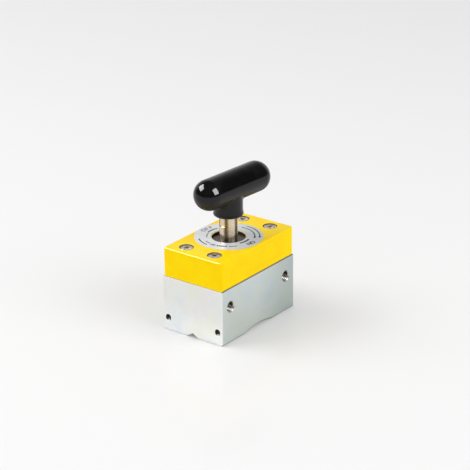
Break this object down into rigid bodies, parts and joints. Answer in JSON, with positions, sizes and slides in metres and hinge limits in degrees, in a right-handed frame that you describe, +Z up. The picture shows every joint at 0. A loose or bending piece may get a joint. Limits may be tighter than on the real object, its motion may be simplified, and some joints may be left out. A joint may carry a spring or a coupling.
{
  "type": "switchable magnetic welding block",
  "caption": "Steel pole block with V groove and a yellow housing; a black T handle turns an inner magnet half a turn to switch the holding force on or off.",
  "frame": {"origin": "middle of the block's underside, on the turning axis of the handle", "axes": "+Z up along the handle's turning axis, +Y along the block and its V groove, towards the long arm of the handle; X across the block"},
  "size_m": [0.052, 0.085, 0.111],
  "materials": {
    "zinc_steel": "zinc plated, satin",
    "yellow_paint": "semi-gloss powder coat",
    "gasket_rubber": "matt",
    "screw_steel": "plain steel",
    "pin_steel": "ground",
    "dial_aluminium": "anodised, dark print",
    "dark_steel": "turned, darkened",
    "bright_steel": "turned, bright",
    "black_plastic": "polished",
    "brass": "machined",
    "nickel_plate": "nickel plated",
    "white_ptfe": "matt",
    "bronze": "sintered"
  },
  "bodies": {
    "block": {"pole_body": "zinc_steel", "base_magnet": "nickel_plate", "base_key": "pin_steel", "slip_disc": "white_ptfe", "top_housing": "yellow_paint", "housing_gasket": "gasket_rubber", "housing_screws": "screw_steel", "housing_dowels": "pin_steel", "hub_bush": "bronze", "thrust_washer": "bronze", "stop_pin": "pin_steel", "dial_ring": "dial_aluminium"},
    "rotor": {"rotor_magnet": "nickel_plate", "float_pad": "gasket_rubber", "drive_hub": "dark_steel", "drive_pins": "pin_steel", "hub_seal": "gasket_rubber", "spindle": "bright_steel", "hub_roll_pin": "pin_steel", "grip_insert": "brass", "grip": "black_plastic"}
  },
  "joints": [
    {"name": "handle_turn", "type": "hinge", "parent": "block", "child": "rotor", "pos_m": [0, 0, 0.0625], "axis": [0, 0, -1], "range_deg": [0, 180]}
  ]
}
